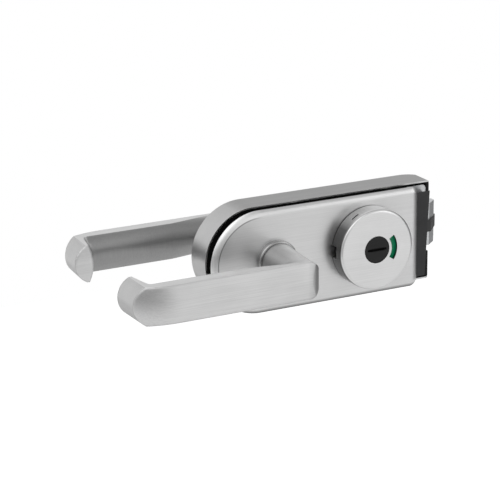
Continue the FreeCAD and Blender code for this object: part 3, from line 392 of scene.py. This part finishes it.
def door_shade_mask(tree, spot, normal, face):
    """One on the inner faces of the grips, which stand well off the glass and are turned towards it,
    and on the rear grip also where this face runs into the neck. It places painted shade."""
    away = part_of(tree, measured_from(tree, spot, middle), "Y")
    turn = part_of(tree, normal, "Y")
    inwards = combined(tree, "MULTIPLY", away, turn)
    back = falling(tree, inwards, (-grip_stand_off, inner_face_margin - grip_stand_off))
    inner = combined(tree, "MULTIPLY", back, face)
    high = rising(tree, away, tuple(grip_stand_off - depth for depth in flare_depth))
    tilted = falling(tree, turn, flare_turn)
    beside_neck = rising(tree, part_of(tree, spot, "X"), flare_x)
    flare = combined(tree, "MULTIPLY", combined(tree, "MULTIPLY", high, tilted), beside_neck)
    return combined(tree, "MAXIMUM", inner, flare)


def elbow_shade_mask(tree, spot, normal):
    """Grows where the front of an elbow rolls off to the right; it places painted shade there."""
    turned = mapped(tree, part_of(tree, normal, "X"), 0.0, elbow_turn_share, *elbow_turn)
    rolled = mapped(tree, part_of(tree, spot, "X"), 0.0, elbow_roll_share, *elbow_roll_x)
    return combined(tree, "ADD", turned, rolled, use_clamp=True)


def rim_paint_masks(tree, spot):
    """Masks for the rolled rim round the left end of the front cover: its inner line, which gets a
    painted dark line, and the band outside that, which gets a painted highlight."""
    from_centre = measured_from(tree, spot, (round_end_x, 0.0, 0.0))
    reach = axis_distance(tree, from_centre)
    left = falling(tree, part_of(tree, from_centre, "X"), rim_fade_x)
    front = add(tree, "ShaderNodeMath", operation="LESS_THAN", in_1=0.0)
    link(tree, part_of(tree, from_centre, "Y"), front.inputs[0])
    here = combined(tree, "MULTIPLY", left, front.outputs[0])
    rise = rising(tree, reach, (rim_line_radius - rim_line_inside, rim_line_radius))
    fall = falling(tree, reach, (rim_line_radius, rim_line_radius + rim_line_outside))
    outside = rising(tree, reach, (rim_line_radius, rim_line_radius + rim_band_start))
    line = combined(tree, "MULTIPLY", combined(tree, "MULTIPLY", rise, fall), here)
    band = combined(tree, "MULTIPLY", outside, here)
    return line, band


def contact_shadow_mask(tree, spot):
    """One on the last part of a piece before it meets the face of a cover, where painted contact shadow
    goes.
    """
    away = size_of_part(tree, measured_from(tree, spot, middle), "Y")
    return falling(tree, away, tuple(cover_stand_off + gap for gap in contact_shadow_span))


def satin_steel(name, shade, roughness, grain_along, wall_painted_shade=None, wall_grain=None, top_painted_shade=None,
                top_from=0.85, inner_painted_shade=None, inner_grain=None, elbow_painted_shade=None, low_edge_painted_shade=None,
                rim=False, painted_contact_shadow=False, edge=steel_edge, contrast=steel_contrast):
    """Ground stainless steel. These can have a painted shade of their own, which stands in for how
    light
    falls on them: walls that don't face along Y, walls that face up or down (from top_from on), faces
    that are turned towards the door, the rolled right side of an elbow, and lower edges. Walls and
    inner faces can have a grain of their own. The rim round the left end gets a painted highlight band
    and a painted dark line. A painted contact shadow darkens the foot, the shadow gap where a piece
    meets a cover. The edges get a painted highlight."""
    material, tree, shader = new_material(name)
    place = add(tree, "ShaderNodeTexCoord")
    spot = place.outputs["Object"]
    normal = place.outputs["Normal"]
    face = rising(tree, size_of_part(tree, normal, "Y"), front_turn)
    stretch = chosen(tree, face, wall_grain or grain_along, grain_along)
    if inner_painted_shade:
        inner = door_shade_mask(tree, spot, normal, face)
        stretch = chosen(tree, inner, stretch, inner_grain or grain_along)
    grain = placed(tree, grain_group)
    link(tree, spot, grain.inputs["Vector"])
    link(tree, stretch, grain.inputs["Stretch"])
    edges = placed(tree, edge_group, Radius=edge, Sharpness=2.5)
    patches = mapped(tree, clouded(tree, spot, steel_cloud_size), -0.25, 0.05, 0.25, 0.75)
    scratched = weighed(tree, grain.outputs["Grain"], 1.2, patches)
    # Edges are made lighter here: a painted highlight
    tone = weighed(tree, edges.outputs["Mask"], 0.4, scratched, use_clamp=True)

    def reshaded(colour, mask, level):
        """The colour, with another shade where the mask is one."""
        return blended(tree, mask, colour, toned(tree, tone, level, contrast))

    front = toned(tree, tone, shade, contrast)
    # Painted shade on the rolled right side of an elbow
    if elbow_painted_shade:
        front = reshaded(front, elbow_shade_mask(tree, spot, normal), elbow_painted_shade)
    # Painted shade on walls that don't face along Y, and another on walls that face up or down
    wall = toned(tree, tone, wall_painted_shade or shade, contrast)
    if top_painted_shade:
        wall = reshaded(wall, rising(tree, size_of_part(tree, normal, "Z"), (top_from, 1.0)), top_painted_shade)
    colour = blended(tree, face, wall, front)
    # Painted shade on faces turned towards the door
    if inner_painted_shade:
        colour = reshaded(colour, inner, inner_painted_shade)
    # Painted contact shadow where a piece meets a cover
    if painted_contact_shadow:
        colour = reshaded(colour, contact_shadow_mask(tree, spot), contact_shadow_shade)
    # Painted highlight band and painted dark line on the rim
    if rim:
        line, band = rim_paint_masks(tree, spot)
        colour = reshaded(colour, band, rim_band_painted_highlight)
        colour = reshaded(colour, line, rim_line_painted_shade)
    # Painted shade on lower edges
    if low_edge_painted_shade:
        colour = reshaded(colour, falling(tree, part_of(tree, normal, "Z"), low_edge_turn), low_edge_painted_shade)
    link(tree, colour, shader.inputs["Base Color"])
    rough = mapped(tree, grain.outputs["Streaks"], roughness - 0.03, roughness + 0.03, 0.3, 0.7)
    link(tree, rough, shader.inputs["Roughness"])
    bump = add(tree, "ShaderNodeBump", in_Strength=0.3, in_Distance=grain_depth)
    link(tree, grain.outputs["Grain"], bump.inputs["Height"])
    link(tree, edges.outputs["Normal"], bump.inputs["Normal"])
    link(tree, bump.outputs[0], shader.inputs["Normal"])
    shader.inputs["Metallic"].default_value = 1.0
    return material


def moulded(name, dark, light, roughness, sheen=0.5):
    """Moulded plastic or rubber with a fine texture and paler worn edges."""
    material, tree, shader = new_material(name)
    shader.inputs["Specular IOR Level"].default_value = sheen
    spot = add(tree, "ShaderNodeTexCoord").outputs["Object"]
    grit = clouded(tree, spot, plastic_grit_size)
    edges = placed(tree, edge_group, Radius=plastic_edge, Sharpness=2.0)
    patches = mapped(tree, clouded(tree, spot, plastic_cloud_size), 0.0, 0.5, 0.3, 0.7)
    textured = weighed(tree, grit, 0.5, patches, use_clamp=True)
    worn = weighed(tree, edges.outputs["Mask"], 0.5, textured, use_clamp=True)
    link(tree, tinted(tree, worn, dark, light), shader.inputs["Base Color"])
    rough = mapped(tree, grit, roughness - 0.08, roughness + 0.08, 0.3, 0.7)
    link(tree, rough, shader.inputs["Roughness"])
    bump = add(tree, "ShaderNodeBump", in_Strength=0.4, in_Distance=plastic_grit_depth)
    link(tree, grit, bump.inputs["Height"])
    link(tree, edges.outputs["Normal"], bump.inputs["Normal"])
    link(tree, bump.outputs[0], shader.inputs["Normal"])
    return material


def coin_material():
    """Black moulded coin slot disc, with the soft shadow along the slot's edges."""
    material = moulded("coin_plastic", grey(0.022), grey(0.032), 0.5, 0.12)
    tree = material.node_tree
    shader = of_type(tree.nodes, "BSDF_PRINCIPLED")[0]
    plain = shader.inputs["Base Color"].links[0].from_socket
    low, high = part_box("coin_disc")
    place = add(tree, "ShaderNodeTexCoord")
    spot = measured_from(tree, place.outputs["Object"], (low + high) / 2)
    across = falling(tree, size_of_part(tree, spot, "Z"), coin_slot_shade_z)
    along = falling(tree, size_of_part(tree, spot, "X"), coin_slot_shade_x)
    shadow = tinted(tree, combined(tree, "MULTIPLY", across, along), grey(1.0), grey(0.0))
    shaded = add(tree, "ShaderNodeMix", data_type="RGBA", blend_type="MULTIPLY", in_Factor=1.0)
    plugs = of_type(shaded.inputs, "RGBA")
    link(tree, plain, plugs[0])
    link(tree, shadow, plugs[1])
    link(tree, of_type(shaded.outputs, "RGBA")[0], shader.inputs["Base Color"])
    return material


def dial_material():
    """Dial face: a ring on black plastic, green on the latch side and red a quarter turn away."""
    material, tree, shader = new_material("dial_plastic")
    shader.inputs["Specular IOR Level"].default_value = 0.25
    place = add(tree, "ShaderNodeTexCoord")
    low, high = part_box("indicator_dial")
    spot = measured_from(tree, place.outputs["Object"], (low + high) / 2)
    grit = clouded(tree, place.outputs["Object"], dial_grit_size)
    green = tinted(tree, grit, (0.001, 0.24, 0.10), (0.003, 0.32, 0.14))
    red = tinted(tree, grit, (0.35, 0.01, 0.01), (0.45, 0.02, 0.015))
    black = tinted(tree, grit, grey(0.004), grey(0.010))
    red_side = combined(tree, "LESS_THAN", part_of(tree, spot, "X"), size_of_part(tree, spot, "Z"))
    painted = blended(tree, red_side, green, red)
    ring = add(tree, "ShaderNodeMath", operation="COMPARE", in_1=sum(dial_ring) / 2,
               in_2=(dial_ring[1] - dial_ring[0]) / 2)
    link(tree, axis_distance(tree, spot), ring.inputs[0])
    link(tree, blended(tree, ring.outputs[0], black, painted), shader.inputs["Base Color"])
    link(tree, mapped(tree, grit, 0.35, 0.5), shader.inputs["Roughness"])
    return material


# The wall, top, inner, elbow and low-edge shades below are painted shade and light, standing in for how
# light falls on each piece
finishes = {
    "satin_cover": satin_steel(
        "satin_cover", grey(0.69), 0.34, along_x, wall_painted_shade=grey(0.50), top_painted_shade=grey(0.34),
        top_from=0.94, low_edge_painted_shade=grey(0.20), rim=True),
    "satin_rose": satin_steel(
        "satin_rose", grey(0.75), 0.34, along_x, wall_painted_shade=grey(0.14), wall_grain=along_y,
        top_painted_shade=grey(0.74), top_from=0.58, painted_contact_shadow=True),
    "satin_lever": satin_steel(
        "satin_lever", grey(0.69), 0.34, along_x, wall_painted_shade=grey(0.50), top_painted_shade=grey(0.70),
        inner_painted_shade=grey(0.31), inner_grain=along_z, elbow_painted_shade=grey(0.38), low_edge_painted_shade=grey(0.35),
        edge=0.0022, contrast=0.17),
    "satin_collar": satin_steel("satin_collar", grey(0.40), 0.22, along_y),
    "plate_steel": satin_steel("pressed_plate", grey(0.50), 0.42, along_x),
    "cast_zinc": satin_steel("cast_zinc", (0.66, 0.67, 0.68), 0.45, even),
    "plated_steel": satin_steel("plated_steel", (0.58, 0.58, 0.56), 0.30, along_y),
    "spring_steel": satin_steel("spring_steel", (0.30, 0.30, 0.31), 0.35, even),
    "black_rubber": moulded("black_rubber", grey(0.0015), grey(0.005), 0.8, 0.1),
    "dark_plastic": moulded("dark_plastic", (0.020, 0.020, 0.021), (0.048, 0.048, 0.049), 0.6, 0.4),
    "black_plastic": moulded("black_plastic", grey(0.003), grey(0.009), 0.6, 0.3),
    "insert_plastic": moulded("insert_plastic", (0.018, 0.018, 0.019), grey(0.05), 0.5),
    "coin_plastic": coin_material(),
    "dial_plastic": dial_material(),
}


def finish_cad_pieces():
    """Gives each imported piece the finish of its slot."""
    slots = {row["node"]: row["material_slot"] for row in frame["record"]["subparts"]}
    for name, piece in nodes.items():
        piece.data.materials.clear()
        piece.data.materials.append(finishes[slots[name]])


def make_return_spring():
    """The return spring again, as a piece of its own with its own mesh, attached to the lock body."""
    mesh = nodes["lever_return_spring"].data.copy()
    mesh.name = "return_spring_coil"
    coil = bpy.data.objects.new("return_spring_coil", mesh)
    bpy.context.scene.collection.objects.link(coil)
    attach(coil, "lock_body")
    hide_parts("lever_return_spring")
    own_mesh(coil)


def make_camera():
    """The photo's camera."""
    data = bpy.data.cameras.new("camera")
    data.lens = camera_lens
    data.sensor_width = sensor_width
    data.sensor_fit = "HORIZONTAL"
    data.clip_end = camera_sight
    camera = bpy.data.objects.new("camera", data)
    camera.location = camera_place
    camera.rotation_euler = [math.radians(value) for value in camera_turn_deg]
    bpy.context.scene.collection.objects.link(camera)
    bpy.context.scene.camera = camera


def soft_light(name, place, size, power):
    """A square soft lamp that points at the origin."""
    data = bpy.data.lights.new(name, "AREA")
    data.shape = "SQUARE"
    data.size = size
    data.energy = power
    lamp = bpy.data.objects.new(name, data)
    lamp.location = place
    lamp.rotation_euler = (-Vector(place)).to_track_quat("-Z", "Y").to_euler()
    bpy.context.scene.collection.objects.link(lamp)


def seen_rays(tree):
    """One for what the camera sees, directly or in metal, and nought for light that falls on things."""
    rays = add(tree, "ShaderNodeLightPath").outputs
    direct = combined(tree, "MAXIMUM", rays["Is Camera Ray"], rays["Is Glossy Ray"])
    return combined(tree, "MAXIMUM", direct, rays["Is Transmission Ray"])


def camera_rays(tree):
    """One for what the camera sees directly."""
    return add(tree, "ShaderNodeLightPath").outputs["Is Camera Ray"]


def mixed_shaders(tree, factor, first, second):
    """A mix of two shaders."""
    choose = add(tree, "ShaderNodeMixShader")
    link(tree, factor, choose.inputs[0])
    link(tree, first.outputs[0], choose.inputs[1])
    link(tree, second.outputs[0], choose.inputs[2])
    return choose.outputs[0]


def make_floor():
    """A pale floor well below the lock, white to the camera, that still takes its shadow."""
    mesh = bpy.data.meshes.new("studio_floor")
    half = floor_size / 2
    level = cad_low[2] - floor_drop
    corners = [(-half, -half, level), (half, -half, level), (half, half, level), (-half, half, level)]
    mesh.from_pydata(corners, [], [(0, 1, 2, 3)])
    floor = bpy.data.objects.new("studio_floor", mesh)
    bpy.context.scene.collection.objects.link(floor)
    material, tree, shader = new_material("studio_floor")
    spot = add(tree, "ShaderNodeTexCoord").outputs["Object"]
    colour = tinted(tree, clouded(tree, spot, floor_cloud_size), grey(0.86), grey(0.90))
    link(tree, colour, shader.inputs["Base Color"])
    shader.inputs["Roughness"].default_value = floor_roughness
    glow = add(tree, "ShaderNodeEmission")
    link(tree, mapped(tree, camera_rays(tree), floor_mirror, floor_glow), glow.inputs["Strength"])
    nothing = add(tree, "ShaderNodeEmission", in_Strength=0.0)
    total = add(tree, "ShaderNodeAddShader")
    link(tree, shader.outputs[0], total.inputs[0])
    link(tree, mixed_shaders(tree, seen_rays(tree), nothing, glow), total.inputs[1])
    output = of_type(tree.nodes, "OUTPUT_MATERIAL")[0]
    link(tree, total.outputs[0], output.inputs["Surface"])
    floor.data.materials.append(material)


def make_world():
    """A white room with darker surfaces round the object; to the camera it is plain white."""
    world = bpy.data.worlds.new("studio")
    bpy.context.scene.world = world
    world.use_nodes = True
    tree = world.node_tree
    tree.nodes.clear()
    around = add(tree, "ShaderNodeTexCoord").outputs["Generated"]
    level = mapped(tree, seen_rays(tree), room_light, 1.0)
    for direction, start, full, darkness in room_surfaces.values():
        aim = add(tree, "ShaderNodeVectorMath", operation="DOT_PRODUCT",
                  in_1=Vector(direction).normalized())
        link(tree, around, aim.inputs[0])
        surface = mapped(tree, aim.outputs["Value"], 1.0, 1.0 - darkness, start, full)
        level = combined(tree, "MULTIPLY", level, surface)
    room = add(tree, "ShaderNodeBackground", in_Color=white)
    link(tree, level, room.inputs["Strength"])
    plain = add(tree, "ShaderNodeBackground", in_Color=white, in_Strength=1.0)
    output = add(tree, "ShaderNodeOutputWorld")
    link(tree, mixed_shaders(tree, camera_rays(tree), room, plain), output.inputs["Surface"])


finish_cad_pieces()
make_return_spring()
make_camera()
make_floor()
make_world()
for lamp_name, (lamp_place, lamp_size, lamp_power) in lamps.items():
    soft_light(lamp_name, lamp_place, lamp_size, lamp_power)
bpy.context.scene.view_settings.view_transform = "Standard"
